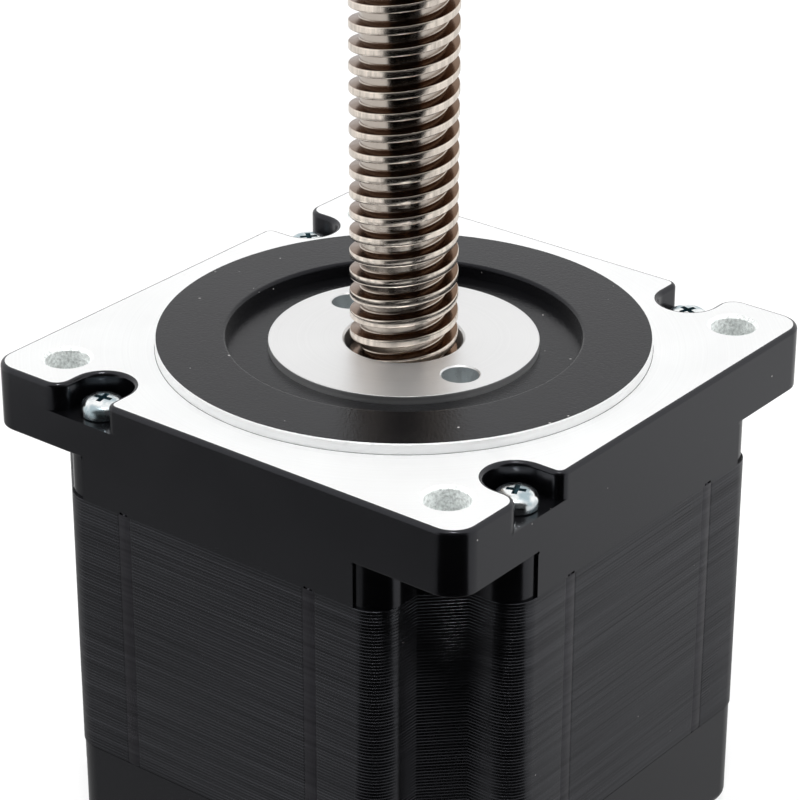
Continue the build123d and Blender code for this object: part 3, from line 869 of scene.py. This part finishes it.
@dataclass
class TieScrews:
    """Four pan-head screws with a cross recess."""

    body: Body
    seat: float = -4.3
    head_radius: float = 3.25
    head_height: float = 2.5
    rim_height: float = 0.8
    shoulder: Point = (0.5, 0.85)
    shank_radius: float = 1.75
    shank_length: float = 63.5
    cross_length: float = 4.0
    cross_width: float = 1.0
    cross_depth: float = 1.6
    cross_taper: Point = (0.4, 0.55)
    shank_tip: Point = (0.4, 0.8)
    foot_edge: float = 0.2
    level_normal: float = 0.97
    crown_steps: int = 12
    turns: tuple[float, ...] = (24, 71, 48, 12)
    steps: int = 48

    def crown(self) -> list[Point]:
        """Profile of the head's top: nearly flat, with a full shoulder."""
        bulge, rise = self.shoulder
        swell = self.head_height - self.rim_height
        quarter = [math.pi / 2 * k / self.crown_steps for k in range(self.crown_steps)]
        curve = [(self.head_radius * math.cos(t) ** bulge, self.rim_height + swell * math.sin(t) ** rise)
                 for t in quarter]
        return curve + [(0, self.head_height)]

    def in_cross(self, face: bmesh.types.BMFace) -> int:
        """Slot 1, darker zinc as painted shade, for the faces inside the recess, slot 0 elsewhere."""
        middle = face.calc_center_median()
        narrow, wide = sorted((abs(middle.x), abs(middle.y)))
        inside = narrow < self.cross_width / 2 + TOUCH and wide < self.cross_length / 2 + TOUCH
        return int(inside and middle.z > self.rim_height and face.normal.z < self.level_normal)

    def screw(self, turn: float) -> Shape:
        """One screw, standing on the origin and turned by an angle in degrees."""
        r, shank, high, foot = self.head_radius, self.shank_radius, self.head_height, -self.shank_length
        (inward, upward), edge = self.shank_tip, self.foot_edge
        profile = [(0, foot), (shank - inward, foot), (shank, foot + upward), (shank, 0),
                   (r - edge, 0), (r, edge)]
        screw = Shape.turned(profile + self.crown(), self.steps)
        for quarter in (0, 90):
            slot = Shape.block((self.cross_length, self.cross_width, self.cross_depth * 2), (0, 0, high))
            for vert in slot.bm.verts:
                if vert.co.z < high:
                    vert.co.x *= self.cross_taper[0]
                    vert.co.y *= self.cross_taper[1]
            screw.combine(Join.CUT, slot.moved(turn=quarter))
        screw.assign(self.in_cross)
        return screw.moved(turn=turn)

    def build(self) -> bpy.types.Object:
        """Builds the four screws as one piece.

        Returns:
            The piece.
        """
        group = Shape()
        for k, turn in enumerate(self.turns):
            place = self.screw(turn).moved(self.body.tie_x, self.body.tie_y, self.seat)
            group.take_in(place.moved(turn=90 * k))
        return group.piece("tie_screw_set", [ZINC.material(), RECESS_PAINTED_SHADE.material()], weigh=False)


@dataclass
class Retainer:
    """The turned ring that holds the front bearing, with two spanner holes."""

    outer: float = 19.96
    bore: float = 8.75
    top: float = 0.75
    bottom: float = -4.75
    edge: float = 0.2
    edge_bend: Point = (0.3, 0.35)
    bore_edge: float = 0.3
    relief_radius: float = 16.5
    relief_depth: float = 0.5
    hole_radius: float = 2.75
    hole_edge: float = 0.2
    hole_depth: float = 3.6
    hole_place: float = 15.0
    hole_turn: float = -19.2

    def in_hole(self, face: bmesh.types.BMFace) -> int:
        """Slot 1 for the walls and floors of the spanner holes, slot 0 elsewhere."""
        middle = face.calc_center_median()
        turn = math.radians(self.hole_turn)
        x, y = self.hole_place * math.cos(turn), self.hole_place * math.sin(turn)
        away = min(math.hypot(middle.x - side * x, middle.y - side * y) for side in (1, -1))
        return int(away < self.hole_radius + TOUCH and middle.z < self.top - self.hole_edge)

    def build(self) -> bpy.types.Object:
        """Builds the ring.

        Returns:
            The piece.
        """
        top, low, outer, edge = self.top, self.bottom + self.relief_depth, self.outer, self.edge
        inward, downward = (edge * share for share in self.edge_bend)
        profile = [(self.bore, low), (self.relief_radius, low), (self.relief_radius, self.bottom),
                   (outer, self.bottom), (outer, top - edge), (outer - inward, top - downward),
                   (outer - edge, top), (self.bore + self.bore_edge, top), (self.bore, top - self.bore_edge)]
        ring = Shape.turned(profile, MIDDLE)
        r, e = self.hole_radius, self.hole_edge
        floor, above = top - self.hole_depth, top + CLEAR
        hole = [(0, floor), (r, floor), (r, top - e), (r + e, top), (r + e, above), (0, above)]
        for turn in (self.hole_turn, self.hole_turn + 180):
            ring.combine(Join.CUT, Shape.turned(hole, HOLE).moved(self.hole_place).moved(turn=turn))
        ring.assign(self.in_hole)
        return ring.piece("spanner_ring", [RING.material(), BORED.material()])


@dataclass
class Stack:
    """The laminated stator: sheets outside, poles inside, weld seams in the grooves."""

    body: Body
    sheet: float = 0.5
    sheet_edge: float = 0.085
    slot_radius: float = 36.0
    bore_radius: float = 23.05
    shoe_depth: float = 3.4
    neck_width: float = 9.0
    poles: int = 8
    teeth: int = 6
    tooth_pitch: float = 7.2
    tooth_depth: float = 1.0
    foot_overlap: float = 0.5
    shoe_heel: float = 0.99
    shrink_spread: float = 0.0001
    seam_sink: float = 0.03
    seam_crown: float = 8.0
    seam_root: Point = (0.3, 0.5)
    bead_radius: float = 0.55
    bead_sink: float = 0.15
    slot_steps: int = 64
    seed: int = 7

    def sheets(self) -> Shape:
        """Every sheet of the stack, each a thin plate with broken edges."""
        chance = random.Random(self.seed)
        outline = self.body.grooved()
        count = round((self.body.stack_front - self.body.stack_rear) / self.sheet)
        single = Shape.extruded(outline, 0, self.sheet)
        single.round_edges(lambda e: height_is(0)(e) or height_is(self.sheet)(e), self.sheet_edge, 1)
        single.combine(Join.CUT, Shape.drum(0, self.slot_radius, -CLEAR, CLEAR, self.slot_steps))
        pile = Shape()
        for k in range(count):
            plate = single.copy()
            shrink = 1 - abs(chance.gauss(0, self.shrink_spread))
            bmesh.ops.scale(plate.bm, vec=(shrink, shrink, 1), verts=plate.bm.verts)
            pile.take_in(plate.moved(z=self.body.stack_rear + k * self.sheet))
            plate.bm.free()
        return pile

    def pole_outline(self) -> list[Point]:
        """One toothed pole, pointing along +X, from its foot in the back iron."""
        inner, shoe = self.bore_radius, self.bore_radius + self.shoe_depth
        half = self.tooth_pitch * (self.teeth - 0.5) / 2
        foot, heel, width = self.slot_radius + self.foot_overlap, shoe * self.shoe_heel, self.neck_width / 2
        points = [(foot, -width), (heel, -width), around(shoe, -half)]
        for k in range(self.teeth):
            low = -half + k * self.tooth_pitch
            high = low + self.tooth_pitch / 2
            points += arc((0, 0), inner, low, high, 2)
            if k < self.teeth - 1:
                points += arc((0, 0), inner + self.tooth_depth, high, low + self.tooth_pitch, 1)
        return points + [around(shoe, half), (heel, width), (foot, width)]

    def seams(self) -> Shape:
        """Weld seams that fill the grooves, each with a small bead at its front end."""
        body = self.body
        surface, crown = body.half - self.seam_sink, self.seam_crown
        swing = math.degrees(body.groove_width / 2 / crown)
        (depth, width), sunk = self.seam_root, surface - self.bead_radius
        back = body.half - body.groove_depth - depth
        outline = arc((surface - crown, 0), crown, -swing, swing, body.groove_steps)
        outline += [(back, width), (back, -width)]
        group = Shape()
        for k in range(SIDES):
            for place in (-body.groove_place, body.groove_place):
                seam = Shape.extruded(outline, body.stack_rear, body.stack_front)
                group.take_in(seam.moved(y=place).moved(turn=90 * k))
                bead = Shape()
                bmesh.ops.create_icosphere(bead.bm, subdivisions=2, radius=self.bead_radius)
                group.take_in(bead.moved(sunk, place, body.stack_front - self.bead_sink).moved(turn=90 * k))
        return group

    def build(self) -> list[bpy.types.Object]:
        """Builds the stack.

        Returns:
            The sheets with the poles, and the seams.
        """
        pile = self.sheets()
        outline = self.pole_outline()
        for k in range(self.poles):
            pole = Shape.extruded(outline, self.body.stack_rear, self.body.stack_front)
            pile.take_in(pole.moved(turn=360 * k / self.poles))
        sheets = pile.piece("stator_sheets", [SHEETS.material()])
        seams = self.seams().piece("weld_seams", [WELD.material()], weigh=False)
        return [sheets, seams]


@dataclass
class RearBell:
    """The cast rear end bell."""

    body: Body
    edge_round: float = 1.7
    edge_steps: int = 5
    web: float = -71.5
    hub_radius: float = 22.0
    hub_end: float = -63.3
    race_radius: float = 18.52
    bore_radius: float = 8.75
    outlet_height: float = -65.1
    outlet_radius: float = 5.0
    outlet_reach: Point = (30.0, 45.0)
    outlet_steps: int = 48
    bore_edge: float = 0.5
    land_width: float = 13.0
    land_wall: float = 4.7
    tie_radius: float = 1.8
    tie_end: float = -69.8

    def build(self) -> bpy.types.Object:
        """Builds the casting.

        Returns:
            The piece.
        """
        body, bore, edge = self.body, self.bore_radius, self.bore_edge
        low, high = body.rear_face, body.stack_rear
        above = high + CLEAR
        outline = quarter_turns(body.corner(body.half, body.mouth_radius + body.relief))
        bell = Shape.extruded(outline, low, high)
        bell.round_edges(height_is(low), self.edge_round, self.edge_steps)
        bell.combine(Join.CUT, Shape.drum(0, body.cavity_radius, self.web, above, HOLLOW))
        bell.combine(Join.ADD, Shape.drum(0, self.hub_radius, self.web - CLEAR, self.hub_end, HOLLOW))
        seat = [(0, low - CLEAR), (bore + edge, low - CLEAR), (bore + edge, low), (bore, low + edge),
                (bore, self.web), (self.race_radius, self.web), (self.race_radius, high), (0, high)]
        land_end = body.half - self.land_wall
        land = Shape.block((self.land_width, land_end - self.hub_radius, self.land_width),
                           (0, (land_end + self.hub_radius) / 2, self.outlet_height))
        outlet = Shape.drum(0, self.outlet_radius, *self.outlet_reach, self.outlet_steps)
        lay = Matrix.Translation((0, 0, self.outlet_height)) @ Matrix.Rotation(-math.pi / 2, 4, "X")
        bmesh.ops.transform(outlet.bm, matrix=lay, verts=outlet.bm.verts)
        tie_holes = body.tie_holes(self.tie_radius, self.tie_end, above)
        bell.combine(Join.CUT, Shape.turned(seat, HOLLOW), land, outlet, *tie_holes)
        return bell.piece("rear_bell_casting", [COAT.material()])


@dataclass
class LeadScrew:
    """The two-start lead screw, with a plain end."""

    radius: float = 7.9375
    lead: float = 6.35
    starts: int = 2
    depth: float = 1.6
    crest: float = 1.15
    flank_angle: float = 14.5
    corner: float = 0.1
    corner_bend: Point = (0.3, 0.8)
    low: float = -75.5
    shoulder: float = 61.9
    end_chamfer: float = 1.8
    journal: Triple = (5.0, 15.0, 1.0)
    crest_place: Point = (-61.2, 3.67)
    steps: int = 64

    def ridge(self, level: float) -> list[Point]:
        """Outline of one crest and the groove above it, as (radius, height) points.

        Args:
            level: Height of the crest's upper edge.

        Returns:
            The points, from the crest up to the next crest's foot.
        """
        run = self.depth * math.tan(math.radians(self.flank_angle))
        crest, root, c = self.radius, self.radius - self.depth, self.corner
        near, far = (c * share for share in self.corner_bend)
        above = level + self.lead / self.starts - self.crest
        return [
            (crest, level - self.crest + 2 * c), (crest, level - 2 * c), (crest - near, level - far),
            (crest - c, level), (root + c, level + run - near), (root, level + run + c),
            (root, above - run - c), (root + c, above - run + near), (crest - c, above),
            (crest - near, above + far),
        ]

    def turn(self) -> Shape:
        """One whole turn of the thread's surface."""
        pitch = self.lead / self.starts
        profile = [point for k in range(self.starts) for point in self.ridge(k * pitch)]
        profile.append((self.radius, self.lead - self.crest + 2 * self.corner))
        coil = Shape()
        bm = coil.bm
        verts = [bm.verts.new((radius, 0, height)) for radius, height in profile]
        edges = [bm.edges.new(pair) for pair in zip(verts, verts[1:])]
        bmesh.ops.spin(
            bm, geom=verts + edges, cent=(0, 0, 0), axis=(0, 0, 1), dvec=(0, 0, self.lead / self.steps),
            angle=2 * math.pi, steps=self.steps,
        )
        return coil

    def close(self, thread: Shape) -> None:
        """Cuts the thread to length, closes both ends and chamfers them."""
        bm = thread.bm
        for level, side in ((self.low, -1), (self.shoulder, 1)):
            cut = bmesh.ops.bisect_plane(
                bm, geom=bm.verts[:] + bm.edges[:] + bm.faces[:], plane_co=(0, 0, level),
                plane_no=(0, 0, side), clear_outer=True,
            )["geom_cut"]
            rim = [e for e in cut if isinstance(e, bmesh.types.BMEdge)]
            bmesh.ops.contextual_create(bm, geom=rim)
        bmesh.ops.recalc_face_normals(bm, faces=bm.faces)
        for vert in bm.verts:
            from_end = min(vert.co.z - self.low, self.shoulder - vert.co.z)
            limit = self.radius - self.end_chamfer + from_end
            radius = math.hypot(vert.co.x, vert.co.y)
            if radius > limit:
                vert.co.x *= limit / radius
                vert.co.y *= limit / radius

    def build(self) -> bpy.types.Object:
        """Builds the screw.

        Returns:
            The piece.
        """
        angle, height = self.crest_place
        start = height - self.lead * (math.ceil((height - self.low) / self.lead) + 2)
        coil = self.turn()
        thread = Shape()
        for k in range(math.ceil((self.shoulder - start) / self.lead) + 2):
            thread.take_in(coil.copy().moved(z=start + k * self.lead))
        bmesh.ops.remove_doubles(thread.bm, verts=thread.bm.verts, dist=TOUCH)
        self.close(thread)
        radius, length, edge = self.journal
        foot, end = self.shoulder - CLEAR, self.shoulder + length
        profile = [(0, foot), (radius, foot), (radius, end - edge), (radius - edge, end), (0, end)]
        thread.take_in(Shape.turned(profile, self.steps))
        thread.moved(turn=angle)
        return thread.piece("threaded_screw", [THREAD.material()], weigh=False)


@dataclass
class InnerParts:
    """Pieces inside the motor. They keep their own meshes and get their finishes."""

    finishes: dict[str, Finish] = field(default_factory=lambda: {
        "front_slot_insulator": NYLON, "rear_slot_insulator": NYLON,
        "phase_a_coils": WIRE, "phase_b_coils": WIRE,
        "front_bearing_outer_race": GROUND, "front_bearing_inner_race": GROUND, "front_bearing_balls": GROUND,
        "rear_bearing_outer_race": GROUND, "rear_bearing_inner_race": GROUND, "rear_bearing_balls": GROUND,
        "preload_spring": SPRING, "rotor_sleeve": SLEEVE, "nut_lock_ring": SLEEVE,
        "front_rotor_cup": SHEETS, "rear_rotor_cup": SHEETS, "rotor_magnet": MAGNET,
        "drive_nut": BRONZE, "lead_grommet": RUBBER,
    })

    def dress(self, nodes: dict[str, bpy.types.Object]) -> None:
        """Puts each finish on its node.

        Args:
            nodes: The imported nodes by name.
        """
        for name, finish in self.finishes.items():
            item = nodes[name]
            item.data.materials.clear()
            item.data.materials.append(finish.material())
            log.info("%s: %s", name, finish.name)


def towards(azimuth: float, elevation: float) -> Vector:
    """Direction away from the motor, given in degrees from -Y towards +X and above the floor."""
    turn, tilt = math.radians(azimuth), math.radians(elevation)
    return Vector((math.sin(turn) * math.cos(tilt), -math.cos(turn) * math.cos(tilt), math.sin(tilt)))


def look(item: bpy.types.Object, aim: Vector, roll: float = 0.0) -> None:
    """Points a camera or lamp along a direction and rolls it, in degrees."""
    item.rotation_mode = "QUATERNION"
    level = aim.to_track_quat("-Z", "Y")
    item.rotation_quaternion = level @ Matrix.Rotation(math.radians(roll), 3, "Z").to_quaternion()


@dataclass(frozen=True)
class SoftBox:
    """A lamp that faces the motor. Only the ones that are seen show in reflections."""

    name: str
    azimuth: float
    elevation: float
    distance: float
    size: Point
    power: float
    seen: bool = False

    def build(self) -> None:
        """Adds the lamp."""
        data = bpy.data.lights.new(self.name, "AREA")
        data.shape = "RECTANGLE"
        data.size, data.size_y = self.size[0] * MM, self.size[1] * MM
        data.energy = self.power
        item = bpy.data.objects.new(self.name, data)
        away = towards(self.azimuth, self.elevation)
        item.location = away * self.distance * MM
        look(item, -away)
        item.visible_glossy = self.seen
        item.visible_camera = False
        bpy.context.scene.collection.objects.link(item)


@dataclass(frozen=True)
class Card:
    """A card, lying flat, that only reflections see.

    It spans an angle to each side of its azimuth and a stretch of distances from the axis. Its
    brightness goes from far to near between two places along Y.
    """

    name: str
    azimuth: float
    half_width: float
    reach: Point
    height: float
    near: float = 0.0
    far: float = 0.0
    change: Point = (-145.0, -128.0)
    steps: int = 8

    def build(self) -> None:
        """Adds the card."""
        start, end = self.azimuth - 90 - self.half_width, self.azimuth - 90 + self.half_width
        outline = arc((0, 0), self.reach[0], start, end, self.steps)
        outline += arc((0, 0), self.reach[1], end, start, self.steps)
        shape = Shape()
        shape.bm.faces.new([shape.bm.verts.new((x, y, self.height)) for x, y in outline])
        bmesh.ops.recalc_face_normals(shape.bm, faces=shape.bm.faces)
        s = Surface(self.name)
        across = s.add("SeparateXYZ", {"Vector": s.place}).outputs["Y"]
        glow = s.spread(across, self.change[0] * MM, self.change[1] * MM, self.far, self.near)
        s.show(s.add("Emission", {"Color": WHITE, "Strength": glow}))
        item = shape.piece(self.name, [s.material], weigh=False)
        item.visible_camera = False
        item.visible_shadow = False
        item.visible_diffuse = False


@dataclass
class Studio:
    """Camera, sky, floor, lamps and cards. Reflections see it darker than the camera does."""

    camera_place: Triple = (259.03, -329.64, 197.43)
    azimuth: float = 38.235
    elevation: float = 26.288
    roll: float = 0.086
    lens: float = 141.91
    sensor: float = 36.0
    nearest: float = 10.0
    dark_side: Point = (0.48, 0.66)
    dark_sky: float = 0.06
    dim_sky: float = 0.35
    floor_level: float = -76.0
    floor_gap: float = 0.05
    floor_size: float = 6000.0
    floor_grey: float = 0.82
    floor_glow: float = 0.75
    shade_reach: Point = (55.0, 190.0)
    shade: Point = (0.48, 0.8)

    def camera(self) -> None:
        """Places the camera at the photograph's viewpoint."""
        data = bpy.data.cameras.new("camera")
        data.lens = self.lens
        data.sensor_width = self.sensor
        data.clip_start = self.nearest * MM
        item = bpy.data.objects.new("camera", data)
        look(item, -towards(self.azimuth, self.elevation), self.roll)
        item.location = Vector(self.camera_place) * MM
        bpy.context.scene.collection.objects.link(item)
        bpy.context.scene.camera = item

    def sky(self) -> None:
        """White to the camera, dim to diffuse light, white with a dark side to reflections."""
        world = bpy.data.worlds.new("studio")
        world.use_nodes = True
        bpy.context.scene.world = world
        b = Bench(world.node_tree)
        sky = world.node_tree.nodes["Background"]
        sky.inputs["Color"].default_value = WHITE
        path = b.add("LightPath").outputs
        place = b.add("TexCoord").outputs["Generated"]
        facing = b.vector("DOT_PRODUCT", place, towards(self.azimuth, 0)).outputs["Value"]
        mirrored = b.spread(facing, *self.dark_side, 1.0, self.dark_sky)
        mirrored = b.math("MULTIPLY", mirrored, path["Is Glossy Ray"])
        seen = b.math("MAXIMUM", path["Is Camera Ray"], path["Is Transmission Ray"])
        other = b.math("MULTIPLY", b.math("SUBTRACT", 1.0, path["Is Glossy Ray"]), self.dim_sky)
        b.feed(sky.inputs["Strength"], b.math("MAXIMUM", seen, b.math("MAXIMUM", mirrored, other)))

    def floor(self) -> None:
        """A white floor that takes the motor's shadow. Reflections see a painted shadow on it, darker near
        the motor.
        """
        ground = Shape()
        bmesh.ops.create_grid(ground.bm, x_segments=1, y_segments=1, size=self.floor_size / 2)
        ground.moved(z=self.floor_level - self.floor_gap)
        s = Surface("pale_floor")
        s.paint({"Base Color": (self.floor_grey, self.floor_grey, self.floor_grey, 1), "Roughness": 0.9})
        path = s.add("LightPath").outputs
        # Reflections see a painted shadow of the motor here, darker near the axis.
        near, far = (reach * MM for reach in self.shade_reach)
        darker = s.spread(s.from_axis(s.place), near, far, 1 - self.shade[0], 1 - self.shade[1])
        strength = s.math("SUBTRACT", 1.0, s.math("MULTIPLY", path["Is Glossy Ray"], darker))
        glow = s.add("Emission", {"Color": WHITE, "Strength": strength})
        share = s.math("MULTIPLY", path["Is Camera Ray"], self.floor_glow)
        share = s.math("MAXIMUM", share, path["Is Glossy Ray"])
        s.show(s.add("MixShader", {0: share, 1: s.shader.outputs[0], 2: glow.outputs[0]}))
        ground.piece("floor", [s.material], weigh=False)

    def build(self) -> None:
        """Sets up the whole studio."""
        bpy.context.scene.view_settings.view_transform = "Standard"
        self.camera()
        self.sky()
        self.floor()
        for item in (
            SoftBox("left_soft_box", -50, 35, 900, (450, 700), 8),
            SoftBox("right_soft_box", 125, 30, 900, (450, 700), 8),
            SoftBox("top_soft_box", 218, 70, 1000, (700, 500), 7),
            SoftBox("flash", self.azimuth, 72, 900, (40, 40), 2.6, seen=True),
            Card("front_card", self.azimuth, 43, (75, 2500), self.floor_level + 1),
            # Left card: a dim glow seen only in reflections, a painted shadow of the motor on the floor
            # beside it.
            Card("left_card", self.azimuth - 82, 44, (50, 215), self.floor_level + 1.5, 0.34, 0.225),
        ):
            item.build()


def place(item: bpy.types.Object, body: str, slot: str, *nodes: str) -> None:
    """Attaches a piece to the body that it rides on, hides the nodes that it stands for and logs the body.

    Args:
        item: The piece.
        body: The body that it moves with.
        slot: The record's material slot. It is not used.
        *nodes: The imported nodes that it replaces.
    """
    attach(item, body)
    if nodes:
        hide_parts(*nodes)
    log.info("%s rides on %s", item.name, body)


def main() -> None:
    """Builds every sub-assembly in order."""
    logging.basicConfig(level=logging.INFO, format="%(relativeCreated)6d ms  %(message)s", stream=sys.stdout)
    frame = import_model()
    body = Body()
    Studio().build()
    place(FrontBell(body).build(), "housing", "cast_aluminium_black", "front_end_bell")
    place(TieScrews(body).build(), "housing", "zinc_plated_steel", "tie_screws")
    place(Retainer().build(), "housing", "turned_steel", "bearing_retainer")
    sheets, seams = Stack(body).build()
    place(sheets, "housing", "electrical_steel", "stator_stack")
    place(seams, "housing", "electrical_steel")
    place(RearBell(body).build(), "housing", "cast_aluminium_black", "rear_end_bell")
    place(LeadScrew().build(), "screw", "screw_steel", "lead_screw")
    InnerParts().dress(frame["nodes"])


if __name__ == "__main__":
    main()
